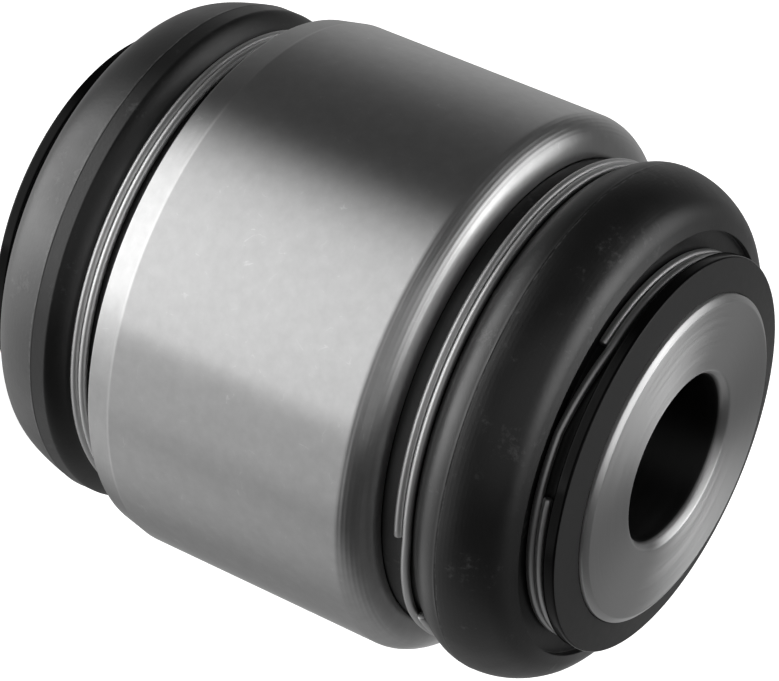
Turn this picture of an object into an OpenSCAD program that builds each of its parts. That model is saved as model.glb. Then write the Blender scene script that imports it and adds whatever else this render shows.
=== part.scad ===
// Ball-sleeve bush: a steel case pressed into a suspension arm, and an inner
// sleeve with a ball that turns and tilts in it. Rubber boots seal both ends.
// Millimetres. +Z runs along the bush towards the end with the rolled rim.
// The origin is the centre of the ball.

/* [Case] */
// Outside diameter of the case, which is pressed into the arm
case_d = 46; // [44:0.5:52]
// Length of the case between its two end faces
case_len = 25.9; // [24:0.1:32]
// Wall of the case round the shells
case_wall = 3.8; // [3:0.1:4.5]
// Radius of the rolled corner at the front
rim_round = 2; // [1:0.1:2.5]
// Slope of the rolled lip, from its crown to the rolled corner, in degrees
lip_slope = 27; // [15:1:35]
// How far the crown of the rolled lip stands up round the foot of the boot
crown_rise = 0.55; // [0.2:0.05:0.8]
// Width of the crown
crown_w = 0.25; // [0.15:0.05:0.4]
// Space between the crown and the foot of the boot
crown_gap = 0.15; // [0.05:0.05:0.3]
// Thickness of the lip that is rolled over the closing ring, inside the crown
lip_t = 1.3; // [1:0.1:2]
// How far the rolled lip reaches over the closing ring
lip_cover = 0.8; // [0.5:0.1:1.2]
// Length of the press-in lead at the rear
lead_len = 2.4; // [1:0.1:4]
// Depth of the press-in lead
lead_depth = 0.5; // [0.2:0.1:1]
// Thickness of the rear wall of the case, and of the closing ring's flange under the lip
end_wall = 3.05; // [2.5:0.05:4]
// Small chamfer on turned edges
edge_break = 0.2; // [0.1:0.05:0.4]

/* [Ball sleeve] */
// Length of the sleeve between its two end faces
sleeve_len = 56.3; // [54:0.1:64]
// Diameter of the end seats of the sleeve
sleeve_d = 27.7; // [26.5:0.1:28.5]
// Diameter of the bolt bore
bore_d = 14.2; // [8:0.1:15]
// Widening of the bore at its mouths, on the radius
mouth_w = 0.5; // [0.2:0.1:1]
// Depth of the chamfer at the mouths of the bore
mouth_depth = 0.9; // [0.3:0.1:2]
// Chamfer round the end faces
face_chamfer = 0.35; // [0.1:0.05:0.8]
// Thickness of the half shells at the middle of the ball
shell_t = 1.6; // [1.4:0.1:2]
// How far the necks of the sleeve lie below the ball
neck_drop = 6; // [5.5:0.1:6.5]
// Radius of the fillet between the ball and a neck
neck_fillet = 2.5; // [1:0.1:3]
// Length of the end seats of the sleeve
seat_len = 7; // [6.4:0.1:8]
// Tilt of the sleeve to each side, in degrees
tilt = 10; // [4:1:10]

/* [Boot necks] */
// Clearance of the sleeve in the mouth through which it passes, at full tilt
mouth_gap = 0.45; // [0.3:0.05:0.8]
// Step from the rolled lip down to the groove that holds the bead of a boot
groove_step = 1.2; // [0.8:0.1:1.6]
// Width of that groove
groove_w = 3.55; // [3:0.05:3.8]
// Height of the lip that keeps the bead in its groove
keeper_h = 0.7; // [0.4:0.1:0.9]
// Width of that lip
keeper_w = 0.9; // [0.6:0.1:1.2]

/* [Clamp rings] */
// Diameter of the spring wire
wire_d = 0.75; // [0.5:0.05:0.9]
// Distance of the rings on the case side from the end of the case
outer_clamp_off = 1.9; // [1.6:0.05:2.1]
// Distance of the rings on the sleeve side from the flange of the angle ring
inner_clamp_off = 0.3; // [0.1:0.05:0.5]
// Space between the two turns of a ring
turn_gap = 0.04; // [0.02:0.01:0.1]
// Angle over which the wire steps from one turn to the other
cross_angle = 27; // [12:1:60]
// Angle by which the wire of the rings on the case side ends short of the step
outer_end_angle = 1; // [0.5:0.5:30]
// Angle by which the wire of the rings on the sleeve side ends short of the step
inner_end_angle = 18; // [0.5:0.5:30]
// Direction in which the wire of the front ring on the case side starts
outer_clamp_turn = -47; // [-180:1:180]
// Direction in which the wire of the front ring on the sleeve side starts
inner_clamp_turn = -111; // [-180:1:180]
// Direction in which the wire of both rings at the rear starts
rear_clamp_turn = 72; // [-180:1:180]

/* [Angle rings] */
// How far the flange stands out from the hub
flange_w = 1.85; // [1.7:0.05:2.5]
// Thickness of the sheet
collar_t = 1.0; // [0.8:0.05:1.2]
// How far the flange lies below the end face of the sleeve, at the sleeve
collar_drop = 0.55; // [0.4:0.05:1.5]
// Fall of the flange from the sleeve to its rim
collar_fall = 0.55; // [0:0.05:1]
// Length of the hub along the sleeve
hub_len = 6.2; // [5:0.1:7]

/* [Boots] */
// Thickness of the bead, between its groove and the wire ring
bead_t = 2.55; // [2.3:0.05:2.8]
// How far the widest place of a boot stands out from its wire ring
boot_rise = 1.0; // [0.6:0.1:1.4]
// Wall of a boot
boot_wall = 1.6; // [1.2:0.1:2]
// Straight rubber between the wire ring and the bulge
boot_foot = 0.2; // [0.1:0.05:0.4]
// How far the shoulder ends beyond the bottom of the slot for the other wire ring
shoulder_over = 0.25; // [0.1:0.05:0.5]
// Radius of the bulge on the case side
bulge_r = 3.5; // [3:0.1:4]
// Radius of the bulge on the sleeve side
flank_r = 6.6; // [6:0.1:8]
// Radius of the shoulder
shoulder_r = 3.0; // [2.5:0.1:3.5]
// Slope of the flank where it meets the shoulder, in degrees
flank_angle = 37; // [32:1:42]
// Slope of the end face of a boot, in degrees
face_angle = 71; // [66:1:76]
// Thickness of the rubber under the wire ring on the sleeve side
cuff_t = 0.75; // [0.6:0.05:1]
// Free width of the slot outside the wire ring on the sleeve side
slot_room = 1.5; // [0.2:0.1:1.6]
// Thickness of the rubber between the slot and the inside
end_wall_t = 1.2; // [0.9:0.1:1.6]
// Length of rubber between the hub's end and the lip
lip_back = 0.8; // [0.3:0.1:1.2]
// Thickness of the lip between the wire ring and the flange
lip_tip = 0.15; // [0.05:0.05:0.25]
// Height of the flash on the parting line
flash_h = 0.12; // [0.05:0.01:0.3]
// Width of the flash
flash_w = 0.25; // [0.1:0.05:0.5]

/* [Fits] */
// Radial clearance of the ball in its shells
ball_fit = 0.05; // [0.02:0.01:0.1]
// Clearance of pieces that are assembled for good
seat_fit = 0.02; // [0.01:0.01:0.05]
// Clearance between rubber and what it seals on
rubber_fit = 0.05; // [0.02:0.01:0.1]
// Space between the two half shells
shell_gap = 0.3; // [0.1:0.1:0.6]

/* [Hidden] */

$fn = 144;
ARC_STEP = 6;
WIRE_SIDES = 8;
WIRE_STEP = 8;
// How far a cutting tool runs past the face that it cuts
OVERCUT = 1;

case_r = case_d / 2;
case_end = case_len / 2;
case_bore = case_r - case_wall;
lip_r = case_bore - lip_cover;
wall_face = case_end - end_wall;

sleeve_end = sleeve_len / 2;
sleeve_r = sleeve_d / 2;
bore_r = bore_d / 2;
neck_end = sleeve_end - seat_len;
ball_r = case_bore - seat_fit - shell_t - ball_fit;
neck_r = ball_r - neck_drop;

// Radius that the neck of the sleeve reaches at a height, at full tilt
function tilted_neck(z) = neck_r / cos(tilt) + z * tan(tilt);

// The boot necks. Their mouths are wide enough for the ball and the tilted sleeve
groove_r = lip_r - groove_step;
groove_end = case_end + groove_w;
keeper_r = groove_r + keeper_h;
keeper_end = groove_end + keeper_w;
ball_in_mouth = sqrt(pow(ball_r, 2) - pow(wall_face, 2));
mouth_r = max(ball_in_mouth, tilted_neck(wall_face)) + mouth_gap;
mouth_end_r = max(mouth_r, tilted_neck(keeper_end) + mouth_gap);

// The two turns of a ring lie side by side, this far apart
turn_pitch = wire_d + turn_gap;
ring_w = turn_pitch + wire_d;

// The angle ring: its flange at the sleeve, and its rim
flange_top = sleeve_end - collar_drop;
rim_top = flange_top - collar_fall;
hub_r = sleeve_r + collar_t;
hub_end = flange_top - hub_len;
collar_r = hub_r + flange_w;

// The grooves of a boot for its two wire rings, and the rings in them
wire_floor_r = groove_r + rubber_fit + bead_t;
outer_clamp_r = wire_floor_r + rubber_fit + wire_d;
outer_clamp_z = case_end + outer_clamp_off + ring_w / 2;
wire_wall_z = outer_clamp_z + ring_w / 2 + rubber_fit;
cuff_r = hub_r + rubber_fit;
slot_floor_r = cuff_r + cuff_t;
inner_clamp_r = slot_floor_r + rubber_fit + wire_d;
slot_wall_r = inner_clamp_r + slot_room;
inner_clamp_z = rim_top - collar_t - inner_clamp_off - ring_w / 2;
slot_low = inner_clamp_z - ring_w / 2 - rubber_fit;
slot_high = inner_clamp_z + ring_w / 2 + rubber_fit;
slot_corner = wire_d / 4;

// The rolled lip. Its slope runs from the crown down to the rolled corner
crown_r = wire_floor_r + crown_gap;
crown_z = case_end + crown_rise;
slope_end_r = crown_r + crown_w;
rim_x = case_r - rim_round;
rim_z = crown_z - (rim_round + (rim_x - slope_end_r) * sin(lip_slope)) / cos(lip_slope);

// Points of an arc round [x, y], from angle a0 to a1
function arc(x, y, r, a0, a1) =
    let (n = max(2, ceil(abs(a1 - a0) / ARC_STEP)))
    [for (i = [0:n]) let (a = a0 + (a1 - a0) * i / n) [x + r * cos(a), y + r * sin(a)]];

// Both ends of the bush share the shape of the boot neck
function boot_neck_points() = [
    [groove_r, case_end],
    [groove_r, groove_end],
    [keeper_r - edge_break, groove_end],
    [keeper_r, groove_end + edge_break],
    [keeper_r, keeper_end - edge_break],
    [keeper_r - edge_break, keeper_end],
    [mouth_end_r, keeper_end],
    [mouth_r, wall_face]
];

module mirrored_to_rear(rear) {
    mirror([0, 0, rear ? 1 : 0])
        children();
}

// Case and closing ring

module case() {
    neck = boot_neck_points();
    color("silver")
        rotate_extrude()
            polygon(concat(
                [for (i = [len(neck) - 1:-1:0]) [neck[i][0], -neck[i][1]]],
                [[case_r - lead_depth - edge_break, -case_end],
                 [case_r - lead_depth, edge_break - case_end],
                 [case_r, lead_len - case_end]],
                arc(rim_x, rim_z, rim_round, 0, 90 - lip_slope),
                [[slope_end_r, crown_z],
                 [crown_r, crown_z],
                 [crown_r, case_end],
                 [lip_r, case_end],
                 [lip_r, case_end - lip_t],
                 [case_bore, case_end - lip_t],
                 [case_bore, -wall_face]]));
}

module closing_ring() {
    color("slategray")
        rotate_extrude()
            polygon(concat(
                [[case_bore - seat_fit, wall_face],
                 [case_bore - seat_fit, case_end - lip_t - seat_fit],
                 [lip_r - seat_fit, case_end - lip_t - seat_fit],
                 [lip_r - seat_fit, case_end]],
                boot_neck_points()));
}

// Half shell, flat on its outer end and spherical inside

module shell(rear = false) {
    color("ivory")
        mirrored_to_rear(rear)
            difference() {
                translate([0, 0, shell_gap / 2])
                    cylinder(r = case_bore - seat_fit, h = wall_face - seat_fit - shell_gap / 2);
                sphere(r = ball_r + ball_fit);
            }
}

// Inner sleeve with its ball

fillet_z = sqrt(pow(ball_r + neck_fillet, 2) - pow(neck_r + neck_fillet, 2));
fillet_angle = atan2(fillet_z, neck_r + neck_fillet);
mouth_cut_r = bore_r + mouth_w * (mouth_depth + OVERCUT) / mouth_depth;

module sleeve_half() {
    rotate_extrude()
        polygon(concat(
            [[0, 0], [bore_r, 0]],
            arc(neck_r + neck_fillet, fillet_z, neck_fillet, 180 + fillet_angle, 180),
            [[neck_r, neck_end - (sleeve_r - neck_r) / 2],
             [sleeve_r, neck_end],
             [sleeve_r, sleeve_end - face_chamfer],
             [sleeve_r - face_chamfer, sleeve_end],
             [0, sleeve_end]]));
}

module ball_sleeve() {
    color("gainsboro")
        difference() {
            union() {
                sphere(r = ball_r);
                sleeve_half();
                mirror([0, 0, 1])
                    sleeve_half();
            }
            cylinder(r = bore_r, h = sleeve_len + 2 * OVERCUT, center = true);
            for (side = [0, 1])
                mirror([0, 0, side])
                    translate([0, 0, sleeve_end - mouth_depth])
                        cylinder(r1 = bore_r, r2 = mouth_cut_r, h = mouth_depth + OVERCUT);
        }
}

// Spring wire ring of two turns, side by side, wound clockwise. The wire steps
// over from the first turn to the second along a slant.

function step_over(a) =
    let (t = min(1, max(0, (a - 360 + cross_angle) / cross_angle)))
    turn_pitch * (t * t * (3 - 2 * t) - 0.5);

module clamp_ring(outside_r, z_mid, start_turn, end_angle, rear = false) {
    wound = 720 - cross_angle - end_angle;
    rings = ceil(wound / WIRE_STEP);
    mid_r = outside_r - wire_d / 2;
    points = [for (i = [0:rings], s = [0:WIRE_SIDES - 1])
        let (a = wound * i / rings, b = (s + 0.5) * 360 / WIRE_SIDES,
             r = mid_r + wire_d / 2 * cos(b))
        [r * cos(start_turn - a), r * sin(start_turn - a), z_mid + step_over(a) + wire_d / 2 * sin(b)]];
    sides = [for (i = [0:rings - 1], s = [0:WIRE_SIDES - 1])
        let (n = (s + 1) % WIRE_SIDES, lo = i * WIRE_SIDES, hi = lo + WIRE_SIDES)
        [lo + s, hi + s, hi + n, lo + n]];
    caps = [[for (s = [0:WIRE_SIDES - 1]) s],
            [for (s = [WIRE_SIDES - 1:-1:0]) rings * WIRE_SIDES + s]];
    color("lightgray")
        mirrored_to_rear(rear)
            polyhedron(points, concat(sides, caps), convexity = 6);
}

// Boot: bead in the groove of the neck, bulge, shoulder, and a cuff on the
// hub of the angle ring. Heights above the crest are stretched or squeezed
// to the room between the two wire rings.

boot_r = outer_clamp_r + boot_rise;
bulge_angle = acos(1 - (boot_rise + wire_d / 2) / bulge_r);
cuff_low = hub_end + lip_back;

// The shoulder ends at least an edge before the slot
shoulder_room = boot_r - flank_r * (1 - cos(flank_angle)) - slot_wall_r - 2 * edge_break;
shoulder_fit = min(shoulder_r, shoulder_room / (cos(flank_angle) - cos(face_angle)));
shoulder_x = boot_r - flank_r + (flank_r - shoulder_fit) * cos(flank_angle);
shoulder_y = (flank_r - shoulder_fit) * sin(flank_angle);

bulge_len = bulge_r * sin(bulge_angle);
boot_room = slot_low + shoulder_over - wire_wall_z - boot_foot;
stretch = boot_room / (bulge_len + shoulder_y + shoulder_fit * sin(face_angle));
crest_z = wire_wall_z + boot_foot + bulge_len * stretch;

function above_crest(points) = [for (p = points) [p[0], crest_z + stretch * p[1]]];

// Height of the end face at a radius inside the shoulder
function face_at(r) =
    crest_z + stretch * (shoulder_y + shoulder_fit / sin(face_angle) - (r - shoulder_x) / tan(face_angle));

module boot(rear = false) {
    bead = [
        [groove_r + rubber_fit, case_end + seat_fit],
        [wire_floor_r - edge_break, case_end + seat_fit],
        [wire_floor_r, case_end + seat_fit + edge_break],
        [wire_floor_r, wire_wall_z]
    ];
    outside = concat(
        arc(boot_r - bulge_r, 0, bulge_r, -bulge_angle, -asin(flash_w / 2 / bulge_r)),
        [[boot_r + flash_h, 0]],
        arc(boot_r - flank_r, 0, flank_r, asin(flash_w / 2 / flank_r), flank_angle),
        arc(shoulder_x, shoulder_y, shoulder_fit, flank_angle, face_angle));
    slot = [
        [slot_wall_r + edge_break, face_at(slot_wall_r + edge_break)],
        [slot_wall_r, face_at(slot_wall_r) - edge_break],
        [slot_wall_r, slot_low + slot_corner],
        [slot_wall_r - slot_corner, slot_low],
        [slot_floor_r + slot_corner, slot_low],
        [slot_floor_r, slot_low + slot_corner],
        [slot_floor_r, slot_high],
        [slot_floor_r - edge_break, slot_high + lip_tip],
        [cuff_r, slot_high + lip_tip],
        [cuff_r, cuff_low],
        [slot_floor_r, cuff_low],
        [slot_wall_r, slot_low - end_wall_t]
    ];
    inside = concat(
        arc(shoulder_x, shoulder_y, shoulder_fit - boot_wall, face_angle, flank_angle),
        arc(boot_r - flank_r, 0, flank_r - boot_wall, flank_angle, 0),
        arc(boot_r - bulge_r, 0, bulge_r - boot_wall, 0, -bulge_angle));
    seat = [
        [keeper_r + rubber_fit, keeper_end + rubber_fit],
        [keeper_r + rubber_fit, groove_end - rubber_fit],
        [groove_r + rubber_fit, groove_end - rubber_fit]
    ];
    color("#202020")
        mirrored_to_rear(rear)
            rotate_extrude()
                polygon(concat(bead, above_crest(outside), slot, above_crest(inside), seat));
}

module outer_clamp(rear = false) {
    start_turn = rear ? rear_clamp_turn : outer_clamp_turn;
    clamp_ring(outer_clamp_r, outer_clamp_z, start_turn, outer_end_angle, rear);
}

module inner_clamp(rear = false) {
    start_turn = rear ? rear_clamp_turn : inner_clamp_turn;
    clamp_ring(inner_clamp_r, inner_clamp_z, start_turn, inner_end_angle, rear);
}

// Angle ring: hub on the sleeve, flange outwards

module collar(rear = false) {
    color("#383838")
        mirrored_to_rear(rear)
            rotate_extrude()
                polygon([
                    [sleeve_r + seat_fit, hub_end],
                    [hub_r, hub_end],
                    [hub_r, flange_top - collar_t],
                    [collar_r, rim_top - collar_t],
                    [collar_r, rim_top],
                    [sleeve_r + seat_fit, flange_top]]);
}

case();
closing_ring();
shell();  // shell_front
shell(rear = true);  // shell_rear
ball_sleeve();
boot();  // boot_front
boot(rear = true);  // boot_rear
outer_clamp();  // outer_clamp_front
outer_clamp(rear = true);  // outer_clamp_rear
inner_clamp();  // inner_clamp_front
inner_clamp(rear = true);  // inner_clamp_rear
collar();  // collar_front
collar(rear = true);  // collar_rear
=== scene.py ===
"""Ball-sleeve bush on a pale studio floor: ground steel case, turned sleeve, rubber boots, wire rings.

Shapes are given in millimetres, with +Z along the bolt bore towards the end with the rolled rim, and are
turned into metres as each mesh is finished.
"""
import math

import bmesh
import bpy
from mathutils import Matrix, Vector, noise


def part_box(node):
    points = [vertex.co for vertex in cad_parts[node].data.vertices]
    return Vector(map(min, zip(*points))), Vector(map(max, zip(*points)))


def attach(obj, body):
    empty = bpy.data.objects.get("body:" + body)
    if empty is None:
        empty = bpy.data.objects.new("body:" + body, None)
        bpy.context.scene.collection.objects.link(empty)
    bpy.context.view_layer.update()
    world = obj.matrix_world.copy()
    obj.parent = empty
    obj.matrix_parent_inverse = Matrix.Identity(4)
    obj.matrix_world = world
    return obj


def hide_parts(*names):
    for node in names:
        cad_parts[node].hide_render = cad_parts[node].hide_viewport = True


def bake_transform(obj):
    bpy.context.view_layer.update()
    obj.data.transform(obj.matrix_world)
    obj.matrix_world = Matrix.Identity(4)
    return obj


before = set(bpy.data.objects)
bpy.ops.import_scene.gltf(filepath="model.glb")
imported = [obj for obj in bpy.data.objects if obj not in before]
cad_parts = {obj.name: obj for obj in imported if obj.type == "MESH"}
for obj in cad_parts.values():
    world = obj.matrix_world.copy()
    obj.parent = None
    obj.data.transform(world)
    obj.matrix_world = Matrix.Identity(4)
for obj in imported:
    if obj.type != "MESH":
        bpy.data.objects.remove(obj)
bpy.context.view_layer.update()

MM = 0.001


def box_mm(node):
    """Lowest and highest corner of a CAD node, in millimetres."""
    return [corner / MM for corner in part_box(node)]


# Sizes that the frame gives
case_high = box_mm("case")[1]
sleeve_high = box_mm("ball_sleeve")[1]
boot_high = box_mm("boot_front")[1]
closing_ring_high = box_mm("closing_ring")[1]
collar_low, collar_high = box_mm("collar_front")
outer_ring_low, outer_ring_high = box_mm("outer_clamp_front")
inner_ring_low, inner_ring_high = box_mm("inner_clamp_front")

CASE_R = case_high.x
SLEEVE_END = sleeve_high.z
BALL_R = sleeve_high.x
COLLAR_R = collar_high.x
COLLAR_TOP = collar_high.z
HUB_END = collar_low.z
KEEPER_END = closing_ring_high.z
CASE_BORE = closing_ring_high.x

# Case, in millimetres
CASE_END = 12.95
RIM_START = 11.1
# Radius and last angle of each arc of the rolled rim, from the cylinder to the crown
RIM_ARCS = [(2.1, 26), (2.461, 61), (3.235, 90)]
LIP_R = 18.4
LIP_T = 1.3
CROWN_TOP = case_high.z
CROWN_INSIDE = 19.95
LEAD_LEN = 2.4
LEAD_DEPTH = 0.5
# Share of the lead's length, and the depth there, that ease it into the cylinder
LEAD_EASE = (0.9, 0.05)
# Number of grooves that the rolling tool left, and their start along the rim, pitch and depth
TOOL_MARKS = 6
TOOL_MARK_START = 0.25
TOOL_MARK_PITCH = 0.37
TOOL_MARK_DEPTH = 0.008

# Boot necks on the case and the closing ring. The keeper is the bead at the end of a neck
GROOVE_R = 17.2
GROOVE_END = 16.5
KEEPER_R = 17.9
MOUTH_R = 14.92
MOUTH_END_R = 15.23
WALL_FACE = 9.9

# Sleeve
SLEEVE_R = 13.85
BORE_R = 7.1
MOUTH_W = 0.5
MOUTH_DEPTH = 0.9
# Shares of the mouth's width and depth where its steeper second facet starts
MOUTH_STEP = (0.24, 0.5)
# Radius and last angle of each arc of the edge round the end face
FACE_ARCS = [(0.1, 50), (1.7, 68), (0.1, 90)]
NECK_R = 11.53
NECK_FILLET = 2.5
SEAT_LEN = 7.0

# Angle ring
HUB_R = 14.85
SHEET = 1.0
FLANGE_FALL = 0.55
PRESS_GAP = 0.03

# Wire rings
WIRE_D = 0.75
WIRE_GAP = 0.04
WIRE_SIDES = 16
WIRE_END_EDGE = 0.12
CROSS_ANGLE = 27
TURN_STEPS = 162
CROSS_STEPS = 18
# For the rings on the case side and on the sleeve side: start turn at the front, and the
# angle by which the second turn ends short
OUTER_WIRE = (-47, 1)
INNER_WIRE = (-111, 18)
REAR_WIRE_START = 72

# Boot
CAD_FLASH_H = 0.12
FLASH_H = 0.02
FLASH_W = 0.14
LIP_START_R = 19.7
LIP_END_R = 19.9
# Room between the boot and what it grips, and between its lip and the case's end
GRIP_GAP = 0.05
LIP_GAP = 0.02
# Floor and both ends of the seat of the wire ring, and where the bulge starts
WIRE_FLOOR_R = 19.8
WIRE_FLOOR_Z = (14.85, 16.44)
BULGE_START = (20.15, 16.52)
CREST_Z = 19.42
CREST_R = boot_high.x - CAD_FLASH_H
BULGE_R = 3.5
BULGE_ANGLE = 52
FLANK_R = 6.6
FLANK_ANGLE = 37
SHOULDER_R = 3.0
FACE_ANGLE = 71
CREASE_ANGLE = 12
REAR_FLAT = 1.3
BOOT_WALL = 1.6
SLOT_WALL_R = 17.95
SLOT_FLOOR_R = 15.65
SLOT_LOW = 24.16
CUFF_R = 14.9
CUFF_LOW = 22.2
CUFF_TOP = 25.95
CUFF_SLANT = 0.15
SLOT_THROAT = 1.2

SPIN_STEPS = 180
SHARP = math.radians(25)
EDGE = 0.12
BOOT_EDGE = 0.05
# Straight lines longer than this many corner roundings are held flat
LONG_LINE = 6


# Mesh making

def arc(centre, radius, start, stop, step=6):
    """Points of an arc. The angles are in degrees, from outwards towards +Z."""
    count = max(2, round(abs(stop - start) / step))
    turns = [math.radians(start + (stop - start) * i / count) for i in range(count + 1)]
    return [(centre[0] + radius * math.cos(t), centre[1] + radius * math.sin(t)) for t in turns]


def bent(first, first_angle, last, last_angle, steps=12):
    """Smooth line between two points of an outline, square to the directions given at its ends."""
    a, b = math.radians(first_angle), math.radians(last_angle)
    run_r, run_z = last[0] - first[0], last[1] - first[1]
    reach = (run_r * math.cos(b) + run_z * math.sin(b)) / math.sin(b - a)
    middle = (first[0] - reach * math.sin(a), first[1] + reach * math.cos(a))
    points = []
    for i in range(steps + 1):
        t = i / steps
        weights = ((1 - t) ** 2, 2 * t * (1 - t), t ** 2)
        held_by = list(zip(weights, (first, middle, last)))
        points.append(tuple(sum(w * p[axis] for w, p in held_by) for axis in (0, 1)))
    return points


def corner_angle(vert):
    """Angle by which an outline turns at one of its points."""
    one, two = [edge.other_vert(vert).co - vert.co for edge in vert.link_edges]
    return math.pi - one.angle(two)


def turned(name, outline, edge=EDGE, rear=False, rework=None):
    """Breaks the corners of a closed outline of (radius, height), and spins it round the bore."""
    bm = bmesh.new()
    section = bm.faces.new([bm.verts.new((r, 0, z)) for r, z in outline])
    corners = [v for v in section.verts if corner_angle(v) > SHARP]
    bmesh.ops.bevel(bm, geom=corners, offset=edge, segments=3, profile=0.5, affect="VERTICES", material=-1)
    bmesh.ops.delete(bm, geom=bm.faces[:], context="FACES_ONLY")
    for line in [e for e in bm.edges if e.calc_length() > LONG_LINE * edge]:
        hold_flat(line, edge)
    bmesh.ops.spin(bm, geom=bm.verts[:] + bm.edges[:], cent=(0, 0, 0), axis=(0, 0, 1),
                   angle=math.tau, steps=SPIN_STEPS, use_merge=True)
    if rework:
        rework(bm)
    return finished(bm, name, rear)


def hold_flat(line, edge):
    """Adds a point near each end of a straight line, so that smooth shading leaves it flat."""
    first, last = line.verts
    share = edge / line.calc_length()
    line, near_first = bmesh.utils.edge_split(line, first, share)
    rest = next(e for e in near_first.link_edges if last in e.verts)
    bmesh.utils.edge_split(rest, last, edge / rest.calc_length())


def finished(bm, name, rear=False):
    """Turns a mesh in millimetres into an object in metres, mirrored to the rear end if asked."""
    scale = (MM, MM, -MM if rear else MM)
    bmesh.ops.scale(bm, vec=scale, verts=bm.verts[:])
    bmesh.ops.recalc_face_normals(bm, faces=bm.faces[:])
    mesh = bpy.data.meshes.new(name)
    bm.to_mesh(mesh)
    bm.free()
    mesh.shade_smooth()
    made = bpy.data.objects.new(name, mesh)
    bpy.context.scene.collection.objects.link(made)
    return made


def dress(piece, material, slot, body, *nodes):
    """Gives a piece its material, and lets it stand for CAD nodes on a body. The slot is not used."""
    piece.data.materials.append(material)
    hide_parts(*nodes)
    if body:
        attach(piece, body)
    return piece


# Shapes

def rolled(start, arcs):
    """Line of arcs that run into each other, from straight up to the last angle."""
    line = [start]
    angle = 0
    for radius, last in arcs:
        centre = (line[-1][0] - radius * math.cos(math.radians(angle)),
                  line[-1][1] - radius * math.sin(math.radians(angle)))
        line += arc(centre, radius, angle, last, step=math.degrees(0.05 / radius))[1:]
        angle = last
    return line


def tool_marked(line):
    """Cuts the shallow grooves of the rolling tool into the first part of the rim."""
    marked = [line[0]]
    run = 0
    for before, (r, z) in zip(line, line[1:]):
        run += math.dist(before, (r, z))
        mark = (run - TOOL_MARK_START) / TOOL_MARK_PITCH
        depth = TOOL_MARK_DEPTH * (0.5 - 0.5 * math.cos(math.tau * mark)) if 0 < mark < TOOL_MARKS else 0
        marked.append((r - depth, z - depth / 2))
    return marked


def case_outline():
    """Rolled rim at the front, press-in lead and boot neck at the rear."""
    rim = rolled((CASE_R, RIM_START), RIM_ARCS)
    return tool_marked(rim) + [
        (CROWN_INSIDE, rim[-1][1]),
        (CROWN_INSIDE, CASE_END),
        (LIP_R, CASE_END),
        (LIP_R, CASE_END - LIP_T),
        (CASE_BORE, CASE_END - LIP_T),
        (CASE_BORE, -WALL_FACE),
        (MOUTH_R, -WALL_FACE),
        (MOUTH_END_R, -KEEPER_END),
        (KEEPER_R, -KEEPER_END),
        (KEEPER_R, -GROOVE_END),
        (GROOVE_R, -GROOVE_END),
        (GROOVE_R, -CASE_END),
        (CASE_R - LEAD_DEPTH, -CASE_END),
        (CASE_R - LEAD_EASE[1], LEAD_LEN * LEAD_EASE[0] - CASE_END),
        (CASE_R, LEAD_LEN - CASE_END)]


def sleeve_outline():
    """Bore with chamfered mouths, end seats, necks and the ball."""
    reach = NECK_R + NECK_FILLET
    fillet_z = math.sqrt((BALL_R + NECK_FILLET) ** 2 - reach ** 2)
    fillet_angle = math.degrees(math.atan2(fillet_z, reach))
    seat_start = SLEEVE_END - SEAT_LEN
    half = arc((0, 0), BALL_R, 3, fillet_angle, step=3)
    half += arc((reach, fillet_z), NECK_FILLET, 180 + fillet_angle, 180, step=15)[1:]
    half += [
        (NECK_R, seat_start - (SLEEVE_R - NECK_R) / 2),
        (SLEEVE_R, seat_start)]
    edge = rolled((SLEEVE_R, 0), FACE_ARCS)
    half += [(r, z + SLEEVE_END - edge[-1][1]) for r, z in edge]
    half += [
        (BORE_R + MOUTH_W, SLEEVE_END),
        (BORE_R + MOUTH_W * MOUTH_STEP[0], SLEEVE_END - MOUTH_DEPTH * MOUTH_STEP[1]),
        (BORE_R, SLEEVE_END - MOUTH_DEPTH)]
    return half + [(r, -z) for r, z in reversed(half)]


def collar_outline():
    """Angle ring of pressed sheet: hub on the sleeve, flange outwards with a slight fall."""
    seat = SLEEVE_R + PRESS_GAP
    return [
        (seat, HUB_END),
        (HUB_R, HUB_END),
        (HUB_R, COLLAR_TOP - SHEET),
        (COLLAR_R, COLLAR_TOP - FLANGE_FALL - SHEET),
        (COLLAR_R, COLLAR_TOP - FLANGE_FALL),
        (seat, COLLAR_TOP)]


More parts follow.
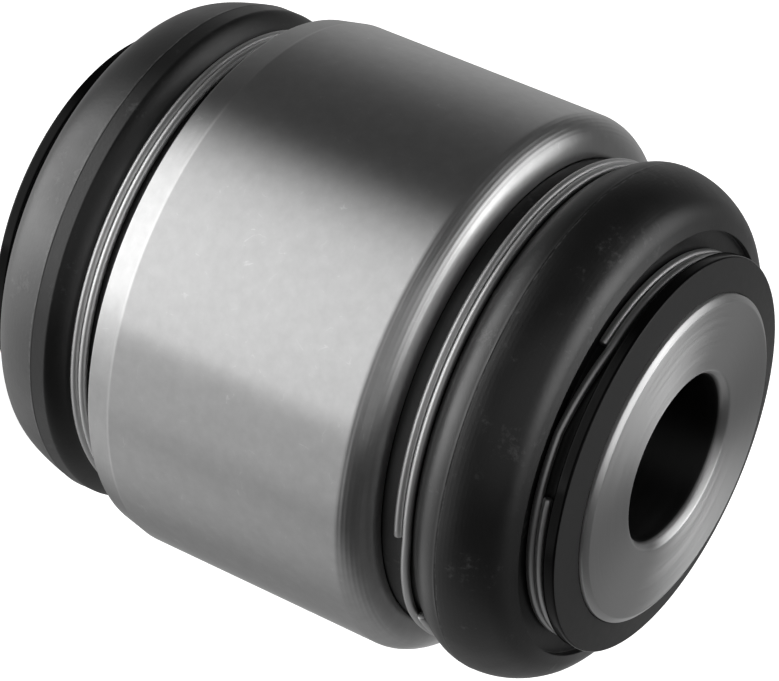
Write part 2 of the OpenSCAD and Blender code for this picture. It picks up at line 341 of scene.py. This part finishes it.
def boot_outline(rear=False):
    """Lip, seat of the wire ring, bulge, flank, shoulder, slot and cuff, and the inside of them.

    The rear boot is flat before the parting line and creased at it, with a straighter flank after it.
    """
    crest = (CREST_R - BULGE_R, CREST_Z)
    flank = (CREST_R - FLANK_R, CREST_Z)
    offset = FLANK_R - SHOULDER_R
    bend = math.radians(FLANK_ANGLE)
    shoulder = (flank[0] + offset * math.cos(bend), CREST_Z + offset * math.sin(bend))
    flash_low = math.degrees(math.asin(FLASH_W / 2 / BULGE_R))
    flash_high = math.degrees(math.asin(FLASH_W / 2 / FLANK_R))
    slot_top = shoulder[1] + SHOULDER_R / math.sin(math.radians(FACE_ANGLE))
    slot_top -= (SLOT_WALL_R - shoulder[0]) / math.tan(math.radians(FACE_ANGLE))
    outside = [
        (GROOVE_R + GRIP_GAP, CASE_END + LIP_GAP),
        (LIP_START_R, CASE_END + LIP_GAP),
        (LIP_END_R, CROWN_TOP),
        (WIRE_FLOOR_R, WIRE_FLOOR_Z[0]),
        (WIRE_FLOOR_R, WIRE_FLOOR_Z[1]),
        BULGE_START]
    bulge = arc(crest, BULGE_R, -BULGE_ANGLE, -flash_low, step=3)
    if rear:
        bulge = bent(bulge[0], -BULGE_ANGLE, (CREST_R, CREST_Z - REAR_FLAT), 0)
        bulge += [(CREST_R, CREST_Z - FLASH_W / 2)]
    outside += bulge + [(CREST_R + FLASH_H, CREST_Z)]
    if rear:
        shoulder_start = arc(flank, FLANK_R, flash_high, FLANK_ANGLE)[-1]
        outside += bent((CREST_R, CREST_Z + FLASH_W / 2), CREASE_ANGLE, shoulder_start, FLANK_ANGLE)
    else:
        outside += arc(flank, FLANK_R, flash_high, FLANK_ANGLE, step=3)
    outside += arc(shoulder, SHOULDER_R, FLANK_ANGLE, FACE_ANGLE, step=4)[1:]
    slot = [
        (SLOT_WALL_R, slot_top),
        (SLOT_WALL_R, SLOT_LOW),
        (SLOT_FLOOR_R, SLOT_LOW),
        (SLOT_FLOOR_R, CUFF_TOP - CUFF_SLANT),
        (CUFF_R, CUFF_TOP),
        (CUFF_R, CUFF_LOW),
        (SLOT_FLOOR_R, CUFF_LOW),
        (SLOT_WALL_R, SLOT_LOW - SLOT_THROAT)]
    inside = arc(shoulder, SHOULDER_R - BOOT_WALL, FACE_ANGLE, FLANK_ANGLE, step=10)
    inside += arc(flank, FLANK_R - BOOT_WALL, FLANK_ANGLE, 0, step=6)[1:]
    inside += arc(crest, BULGE_R - BOOT_WALL, 0, -BULGE_ANGLE, step=8)[1:]
    seat = [
        (KEEPER_R + GRIP_GAP, KEEPER_END + GRIP_GAP),
        (KEEPER_R + GRIP_GAP, GROOVE_END - GRIP_GAP),
        (GROOVE_R + GRIP_GAP, GROOVE_END - GRIP_GAP)]
    return outside + slot + inside + seat


def ragged_flash(bm):
    """The flash on the parting line was torn off, so its height changes from place to place."""
    for vert in bm.verts:
        radius = vert.co.xy.length
        if radius > CREST_R + FLASH_H / 2:
            share = 0.45 + 0.9 * noise.noise(vert.co * 0.35) + 0.5 * noise.noise(vert.co * 1.7)
            height = FLASH_H * min(1, max(0.1, share))
            vert.co.xy *= (CREST_R + height) / radius


def wire_ring(name, outside_r, z_mid, start_turn, short, rear=False):
    """Two turns of spring wire, wound clockwise, with a slanting step from one to the other."""
    pitch = WIRE_D + WIRE_GAP
    bm = bmesh.new()
    place = (Matrix.Rotation(math.radians(start_turn), 4, "Z")
             @ Matrix.Translation((outside_r - WIRE_D / 2, 0, z_mid - pitch / 2))
             @ Matrix.Rotation(math.radians(90), 4, "X"))
    bmesh.ops.create_circle(bm, cap_ends=True, radius=WIRE_D / 2, segments=WIRE_SIDES, matrix=place)
    last = bm.verts[:] + bm.edges[:] + bm.faces[:]
    turn = 360 - CROSS_ANGLE
    stretches = ((turn, 0, TURN_STEPS), (CROSS_ANGLE, pitch, CROSS_STEPS), (turn - short, 0, TURN_STEPS))
    for angle, rise, steps in stretches:
        spun = bmesh.ops.spin(bm, geom=last, cent=(0, 0, 0), axis=(0, 0, -1), dvec=(0, 0, rise / steps),
                              angle=math.radians(angle), steps=steps)
        last = spun["geom_last"]
    bmesh.ops.holes_fill(bm, edges=[e for e in bm.edges if e.is_boundary])
    ends = [f for f in bm.faces if len(f.verts) > 4]
    rims = list({e for f in ends for e in f.edges})
    bmesh.ops.bevel(bm, geom=rims, offset=WIRE_END_EDGE, segments=2, profile=0.5, affect="EDGES", material=-1)
    return finished(bm, name, rear)


# Materials

def linear(hex_colour):
    """Linear colour, with alpha, of an sRGB hex value."""
    parts = [int(hex_colour[i:i + 2], 16) / 255 for i in (1, 3, 5)]
    return [p / 12.92 if p <= 0.04045 else ((p + 0.055) / 1.055) ** 2.4 for p in parts] + [1]


def per_metre(size):
    """Pattern scale for features of a size in millimetres."""
    return 1 / (size * MM)


def connect(tree, node, inputs):
    """Sets or links the inputs of a node. Each is a value, or the output of another node."""
    for key, value in inputs.items():
        if isinstance(value, bpy.types.NodeSocket):
            tree.links.new(value, node.inputs[key])
        else:
            node.inputs[key].default_value = value


def add(tree, kind, inputs=None, **settings):
    """Adds a node with its settings and inputs."""
    made = tree.nodes.new("ShaderNode" + kind)
    for key, value in settings.items():
        setattr(made, key, value)
    connect(tree, made, inputs or {})
    return made


def new_material(name):
    """Material with a Principled shader, its node tree and the object's own coordinates."""
    material = bpy.data.materials.new(name)
    material.use_nodes = True
    tree = material.node_tree
    place = add(tree, "TexCoord").outputs["Object"]
    return material, tree, tree.nodes["Principled BSDF"], place


def mixed(tree, share, first, second):
    """Colour between two hex values."""
    made = add(tree, "Mix", {0: share, 6: linear(first), 7: linear(second)}, data_type="RGBA")
    return made.outputs[2]


def radius_mask(tree, place, start, stop):
    """0 inside one distance from the bore's axis and 1 outside another, in millimetres."""
    across = add(tree, "VectorMath", {0: place, 1: (1, 1, 0)}, operation="MULTIPLY")
    radius = add(tree, "VectorMath", {0: across.outputs["Vector"]}, operation="LENGTH")
    mask = add(tree, "MapRange", {"Value": radius.outputs["Value"], "From Min": start * MM,
                                  "From Max": stop * MM})
    return mask.outputs["Result"]


def ground_steel():
    """Steel, centreless ground: satin, with fine lines round the girth that stretch highlights along Z."""
    material, tree, shader, place = new_material("ground_steel")
    # The grit leaves lines about 0.05 mm apart. They are drawn at 0.12 mm, to show in the render
    lines = add(tree, "Mapping", {"Vector": place,
                                  "Scale": (per_metre(2.5), per_metre(2.5), per_metre(0.12))})
    grit = add(tree, "TexNoise", {"Vector": lines.outputs["Vector"], "Scale": 1, "Detail": 2,
                                  "Roughness": 0.5})
    # Mottling of about a millimetre, where the wheel cut a little more or less finely
    mottle = add(tree, "TexNoise", {"Vector": place, "Scale": per_metre(1.1), "Detail": 5,
                                    "Roughness": 0.65})
    tone = add(tree, "ValToRGB", {"Fac": mottle.outputs["Fac"]})
    tone.color_ramp.elements[0].position = 0.3
    tone.color_ramp.elements[0].color = linear("#c3c3c3")
    tone.color_ramp.elements[1].position = 0.7
    tone.color_ramp.elements[1].color = linear("#cccccc")
    rough = add(tree, "MapRange", {"Value": grit.outputs["Fac"], "From Min": 0.3, "From Max": 0.7,
                                   "To Min": 0.29, "To Max": 0.33})
    # Handling scratches: thin pale lines, here and there
    paths = add(tree, "TexNoise", {"Vector": place, "Scale": per_metre(4), "Detail": 1, "Distortion": 1.5})
    off_path = add(tree, "Math", {0: paths.outputs["Fac"], 1: 0.5}, operation="SUBTRACT")
    off_path = add(tree, "Math", {0: off_path.outputs["Value"]}, operation="ABSOLUTE")
    scratch = add(tree, "MapRange", {"Value": off_path.outputs["Value"], "From Max": 0.005,
                                     "To Min": 0.45, "To Max": 0})
    here = add(tree, "MapRange", {"Value": mottle.outputs["Fac"], "From Min": 0.55, "From Max": 0.62})
    scratch = add(tree, "Math", {0: scratch.outputs["Result"], 1: here.outputs["Result"]},
                  operation="MULTIPLY")
    colour = add(tree, "Mix", {0: scratch.outputs["Value"], 6: tone.outputs["Color"], 7: linear("#f0f0f0")},
                 data_type="RGBA")
    # Painted shade: the press-in lead's colour is made darker, to dim its bright reflection of the low panel
    height = add(tree, "SeparateXYZ", {"Vector": place}).outputs["Z"]
    lead = add(tree, "MapRange", {"Value": height, "From Min": (LEAD_LEN - CASE_END) * MM,
                                  "From Max": (LEAD_LEN * LEAD_EASE[0] - CASE_END) * MM})
    colour = add(tree, "Mix", {0: lead.outputs["Result"], 6: colour.outputs[2], 7: linear("#d9d9d9")},
                 data_type="RGBA", blend_type="MULTIPLY")
    around = add(tree, "Tangent", direction_type="RADIAL", axis="Z")
    connect(tree, shader, {
        "Base Color": colour.outputs[2], "Metallic": 1, "Roughness": rough.outputs["Result"],
        "Anisotropic": 0.75, "Anisotropic Rotation": 0.25, "Tangent": around.outputs["Tangent"]})
    return material


def turned_steel():
    """Steel, turned on a lathe: rings round the bore that spread highlights across them."""
    material, tree, shader, place = new_material("turned_steel")
    split = add(tree, "SeparateXYZ", {"Vector": place})
    flat = add(tree, "CombineXYZ", {"X": split.outputs["X"], "Y": split.outputs["Y"]})
    radius = add(tree, "VectorMath", {"Vector": flat.outputs["Vector"]}, operation="LENGTH")
    # Distance from the axis plus height: one feed mark follows the next over face, chamfer and bore
    run = add(tree, "Math", {0: radius.outputs["Value"], 1: split.outputs["Z"]})
    feed = add(tree, "Math", {0: run.outputs["Value"], 1: per_metre(0.3)}, operation="MULTIPLY")
    wide = add(tree, "VectorMath", {0: flat.outputs["Vector"], "Scale": per_metre(12)}, operation="SCALE")
    wide_xyz = add(tree, "SeparateXYZ", {"Vector": wide.outputs["Vector"]})
    rings = add(tree, "CombineXYZ", {"X": wide_xyz.outputs["X"], "Y": wide_xyz.outputs["Y"],
                                     "Z": feed.outputs["Value"]})
    marks = add(tree, "TexNoise", {"Vector": rings.outputs["Vector"], "Scale": 1, "Detail": 3,
                                   "Roughness": 0.6})
    rough = add(tree, "MapRange", {"Value": marks.outputs["Fac"], "From Min": 0.3, "From Max": 0.7,
                                   "To Min": 0.35, "To Max": 0.45})
    bump = add(tree, "Bump", {"Height": marks.outputs["Fac"], "Strength": 0.4, "Distance": 0.02 * MM})
    around = add(tree, "Tangent", direction_type="RADIAL", axis="Z")
    # Painted shade: the bore is coloured dark, for the shade deep inside it, up to its chamfered mouths
    outside_painted_bore_shade = radius_mask(tree, place, BORE_R + 0.02, BORE_R + 0.08)
    connect(tree, shader, {
        "Base Color": mixed(tree, outside_painted_bore_shade, "#444444", "#d8d8d8"), "Metallic": 1,
        "Roughness": rough.outputs["Result"], "Anisotropic": 0.8, "Anisotropic Rotation": 0.25,
        "Tangent": around.outputs["Tangent"], "Normal": bump.outputs["Normal"]})
    return material


def drawn_wire():
    """Spring steel wire, drawn bright: smooth, with fine die lines along its length."""
    material, tree, shader, place = new_material("drawn_spring_wire")
    lines = add(tree, "Mapping", {"Vector": place, "Scale": (per_metre(6), per_metre(6), per_metre(0.2))})
    die_lines = add(tree, "TexNoise", {"Vector": lines.outputs["Vector"], "Scale": 1, "Detail": 2})
    rough = add(tree, "MapRange", {"Value": die_lines.outputs["Fac"], "To Min": 0.42, "To Max": 0.48})
    connect(tree, shader, {"Base Color": linear("#dadada"), "Metallic": 1,
                           "Roughness": rough.outputs["Result"]})
    return material


def moulded_rubber():
    """Black chloroprene rubber, compression moulded: dull sheen, fine grain, and dust on it."""
    material, tree, shader, place = new_material("moulded_rubber")
    grain = add(tree, "TexNoise", {"Vector": place, "Scale": per_metre(0.35), "Detail": 3})
    clouds = add(tree, "TexNoise", {"Vector": place, "Scale": per_metre(5), "Detail": 4, "Roughness": 0.6})
    specks = add(tree, "TexNoise", {"Vector": place, "Scale": per_metre(0.7), "Detail": 5, "Roughness": 0.7})
    dust_at = add(tree, "Math", {0: specks.outputs["Fac"], 1: clouds.outputs["Fac"]},
                  operation="MULTIPLY")
    dust = add(tree, "MapRange", {"Value": dust_at.outputs["Value"], "From Min": 0.33, "From Max": 0.48,
                                  "To Min": 0, "To Max": 0.5})
    # Dust clings to what is left of the flash, along the parting line of each boot
    height = add(tree, "SeparateXYZ", {"Vector": place}).outputs["Z"]
    height = add(tree, "Math", {0: height}, operation="ABSOLUTE").outputs["Value"]
    wander = add(tree, "Math", {0: clouds.outputs["Fac"], 1: 0.8 * MM, 2: height},
                 operation="MULTIPLY_ADD")
    off_line = add(tree, "Math", {0: wander.outputs["Value"], 1: (CREST_Z + 0.5) * MM},
                   operation="SUBTRACT")
    off_line = add(tree, "Math", {0: off_line.outputs["Value"]}, operation="ABSOLUTE")
    line = add(tree, "MapRange", {"Value": off_line.outputs["Value"], "From Max": 0.1 * MM,
                                  "To Min": 1, "To Max": 0})
    broken = add(tree, "MapRange", {"Value": specks.outputs["Fac"], "From Min": 0.42, "From Max": 0.6,
                                    "To Min": 0, "To Max": 0.5})
    line = add(tree, "Math", {0: line.outputs["Result"], 1: broken.outputs["Result"]}, operation="MULTIPLY")
    dusty = add(tree, "Math", {0: dust.outputs["Result"], 1: line.outputs["Value"]}, operation="MAXIMUM")
    colour = mixed(tree, dusty.outputs["Value"], "#101010", "#686868")
    rough = add(tree, "MapRange", {"Value": clouds.outputs["Fac"], "From Min": 0.3, "From Max": 0.7,
                                   "To Min": 0.33, "To Max": 0.43})
    bump = add(tree, "Bump", {"Height": grain.outputs["Fac"], "Strength": 0.3, "Distance": 0.03 * MM})
    connect(tree, shader, {"Base Color": colour, "Roughness": rough.outputs["Result"],
                           "Specular IOR Level": 0.8, "Normal": bump.outputs["Normal"]})
    return material


def black_coat():
    """Steel sheet with a dipped black coat: satin on the flat, glossy round the rim. Its colour holds a
    painted sheen, lighter grey on the flat, and painted shade, near black round the rim.
    """
    material, tree, shader, place = new_material("dip_coated_sheet")
    ripple = add(tree, "TexNoise", {"Vector": place, "Scale": per_metre(0.8), "Detail": 3})
    satin = add(tree, "MapRange", {"Value": ripple.outputs["Fac"], "To Min": 0.4, "To Max": 0.52})
    rim = radius_mask(tree, place, COLLAR_R - 0.14, COLLAR_R - 0.06)
    rough = add(tree, "MapRange", {"Value": rim, "To Min": satin.outputs["Result"], "To Max": 0.12})
    bump = add(tree, "Bump", {"Height": ripple.outputs["Fac"], "Strength": 0.25, "Distance": 0.03 * MM})
    # Painted sheen and shade: grey on the flat for its sheen, near black round the rim for its dark
    # reflection
    connect(tree, shader, {"Base Color": mixed(tree, rim, "#3e3e3e", "#0a0a0a"), "Specular IOR Level": 0.15,
                           "Roughness": rough.outputs["Result"], "Normal": bump.outputs["Normal"]})
    return material


def turned_ring_steel():
    """Steel, turned and left bare inside the joint: darker and rougher than the case."""
    material, tree, shader, place = new_material("turned_ring_steel")
    lines = add(tree, "Mapping", {"Vector": place, "Scale": (per_metre(8), per_metre(8), per_metre(0.3))})
    marks = add(tree, "TexNoise", {"Vector": lines.outputs["Vector"], "Scale": 1, "Detail": 2})
    rough = add(tree, "MapRange", {"Value": marks.outputs["Fac"], "To Min": 0.35, "To Max": 0.5})
    connect(tree, shader, {"Base Color": linear("#9a9c9e"), "Metallic": 1,
                           "Roughness": rough.outputs["Result"]})
    return material


def moulded_acetal():
    """Acetal, injection moulded in its natural colour: waxy off-white with a soft gloss."""
    material, tree, shader, place = new_material("moulded_acetal")
    flow = add(tree, "TexNoise", {"Vector": place, "Scale": per_metre(6), "Detail": 3})
    rough = add(tree, "MapRange", {"Value": flow.outputs["Fac"], "To Min": 0.3, "To Max": 0.42})
    connect(tree, shader, {"Base Color": linear("#ebe8dc"), "Roughness": rough.outputs["Result"],
                           "Subsurface Weight": 0.1})
    return material


# Pieces

def make_pieces():
    """Makes the ten outer pieces, each over its CAD node."""
    rubber, wire, coat, sleeve_steel = moulded_rubber(), drawn_wire(), black_coat(), turned_steel()
    dress(turned("ground_case", case_outline()), ground_steel(), "case_steel", "housing", "case")
    dress(turned("turned_sleeve", sleeve_outline()), sleeve_steel, "sleeve_steel", "sleeve", "ball_sleeve")
    outer_z = (outer_ring_low.z + outer_ring_high.z) / 2
    inner_z = (inner_ring_low.z + inner_ring_high.z) / 2
    for end, side, rear in (("front", 1, False), ("rear", -1, True)):
        boot = turned("moulded_boot_" + end, boot_outline(rear), edge=BOOT_EDGE, rear=rear,
                      rework=ragged_flash)
        dress(boot, rubber, "boot_rubber", None, "boot_" + end)
        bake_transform(boot)
        collar = turned("angle_ring_" + end, collar_outline(), rear=rear)
        dress(collar, coat, "black_sheet", "sleeve", "collar_" + end)
        outer_start, outer_short = OUTER_WIRE
        inner_start, inner_short = INNER_WIRE
        if rear:
            outer_start = inner_start = REAR_WIRE_START
        outer = wire_ring("case_side_wire_" + end, outer_ring_high.x, outer_z, outer_start,
                          outer_short, rear)
        dress(outer, wire, "spring_wire", "housing", "outer_clamp_" + end)
        inner = wire_ring("sleeve_side_wire_" + end, inner_ring_high.x, inner_z, inner_start,
                          inner_short, rear)
        dress(inner, wire, "spring_wire", "boot_ends", "inner_clamp_" + end)


def dress_hidden_nodes():
    """The CAD nodes inside the joint keep their shape and get their material."""
    acetal = moulded_acetal()
    for node, material in (("closing_ring", turned_ring_steel()), ("shell_front", acetal),
                           ("shell_rear", acetal)):
        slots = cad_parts[node].data.materials
        slots.clear()
        slots.append(material)


# Studio

# Soft boxes of the light tent. Each has a label, the azimuth and elevation of its centre, the half angle of
# the lit disc, the half angle where its edge has faded out, all in degrees, and its brightness.
# Flags cut some of them off: each flag has the direction that it leaves lit, and the cosines to
# that direction between which the light comes up.
SOFT_BOXES = [
    ("low front panel", 282, -82, 24, 46, 2.2, [(300, 0, -0.1, 0.08), (225, 0, -0.55, 0.05)]),
    ("front curtain", 288, -36, 33, 67, 1.22, [(222, 0, -0.02, 0.06), (0, -90, 0.15, 0.55)]),
    ("front haze", 275, 40, 20, 42, 0.26, []),
    ("curtain's end", 326, -26, 10, 26, 0.45, []),
    ("upper rear lamp", 150, 50, 10, 30, 1.5, []),
    ("lamp's bounce", 156, 75, 10, 32, 1.7, []),
    ("table", 10, -64, 14, 44, 0.75, []),
    ("side wall", 38, -20, 28, 60, 0.24, []),
    ("back panel", 92, -38, 18, 70, 0.37, [(162, 0, -0.04, 0.04)]),
    ("ceiling", 90, 50, 10, 60, 0.06, []),
]
TENT_LEVEL = 0.045
# The floor lies below the rear collar when the sleeve is tilted
FLOOR_Z = -30.4
FLOOR_SIZE = 3000


def direction(azimuth, elevation):
    """Unit vector, with the azimuth counted from +X towards +Y."""
    a, e = math.radians(azimuth), math.radians(elevation)
    return Vector((math.cos(e) * math.cos(a), math.cos(e) * math.sin(a), math.sin(e)))


def glow(tree, towards, centre, dark_at, lit_at, strength):
    """Light that comes up smoothly between two cosines to a direction."""
    facing = add(tree, "VectorMath", {0: towards, 1: centre}, operation="DOT_PRODUCT")
    made = add(tree, "MapRange", {"Value": facing.outputs["Value"], "From Min": dark_at, "From Max": lit_at,
                                  "To Min": 0, "To Max": strength}, interpolation_type="SMOOTHSTEP")
    return made.outputs["Result"]


def light_tent():
    """Soft light from the world. The camera itself sees it plain and pale."""
    world = bpy.data.worlds.new("light_tent")
    world.use_nodes = True
    tree = world.node_tree
    tree.nodes.clear()
    towards = add(tree, "TexCoord").outputs["Generated"]
    total = TENT_LEVEL
    for label, azimuth, elevation, lit, faded, strength, flags in SOFT_BOXES:
        box = glow(tree, towards, direction(azimuth, elevation), math.cos(math.radians(faded)),
                   math.cos(math.radians(lit)), strength)
        for flag_azimuth, flag_elevation, dark_at, lit_at in flags:
            flag = glow(tree, towards, direction(flag_azimuth, flag_elevation), dark_at, lit_at, 1)
            box = add(tree, "Math", {0: box, 1: flag}, operation="MULTIPLY").outputs["Value"]
        total = add(tree, "Math", {0: total, 1: box}, label=label).outputs["Value"]
    tent = add(tree, "Background", {"Color": (1, 1, 1, 1), "Strength": total})
    plain = add(tree, "Background", {"Color": (1, 1, 1, 1), "Strength": 1})
    seen = add(tree, "LightPath").outputs["Is Camera Ray"]
    both = add(tree, "MixShader", {0: seen, 1: tent.outputs[0], 2: plain.outputs[0]})
    add(tree, "OutputWorld", {"Surface": both.outputs[0]})
    bpy.context.scene.world = world


def studio_floor():
    """Pale floor. It shows only to the camera, and lies low enough for the sleeve to tilt above it."""
    bm = bmesh.new()
    bmesh.ops.create_grid(bm, x_segments=1, y_segments=1, size=FLOOR_SIZE)
    bmesh.ops.translate(bm, vec=(0, 0, FLOOR_Z), verts=bm.verts[:])
    floor = finished(bm, "studio_floor")
    material, tree, shader, place = new_material("pale_paper")
    connect(tree, shader, {"Base Color": linear("#e6e6e6"), "Roughness": 1, "Specular IOR Level": 0,
                           "Emission Color": (1, 1, 1, 1), "Emission Strength": 1.0})
    floor.data.materials.append(material)
    floor.visible_glossy = False
    floor.visible_diffuse = False
    floor.visible_shadow = False


# Camera, as fitted to the photograph, in degrees, millimetres and pixels
AXIS_FALL = math.radians(23.37)
AXIS_TO_VIEWER = math.radians(25.94)
PIVOT = Vector((-0.5, -0.6, 325.6))
FOCAL_PIXELS = 4000
PICTURE_WIDTH = 779
SENSOR = 36


def photo_camera():
    """Camera on the -Y side, above the part, rolled so that the bush's axis falls to the right."""
    ahead = Vector((0, math.cos(AXIS_TO_VIEWER), -math.sin(AXIS_TO_VIEWER)))
    along = Vector((0, math.sin(AXIS_TO_VIEWER), math.cos(AXIS_TO_VIEWER)))
    across = Vector((1, 0, 0))
    right = along * math.cos(AXIS_FALL) - across * math.sin(AXIS_FALL)
    down = along * math.sin(AXIS_FALL) + across * math.cos(AXIS_FALL)
    place = -(right * PIVOT.x + down * PIVOT.y + ahead * PIVOT.z) * MM
    data = bpy.data.cameras.new("photo_camera")
    data.sensor_width = SENSOR
    data.lens = SENSOR * FOCAL_PIXELS / PICTURE_WIDTH
    data.clip_start = 0.01
    data.clip_end = 50
    camera = bpy.data.objects.new("photo_camera", data)
    turn = Matrix((right, -down, -ahead)).transposed().to_4x4()
    camera.matrix_world = Matrix.Translation(place) @ turn
    bpy.context.scene.collection.objects.link(camera)
    bpy.context.scene.camera = camera


make_pieces()
dress_hidden_nodes()
light_tent()
studio_floor()
photo_camera()
bpy.context.scene.view_settings.view_transform = "Standard"
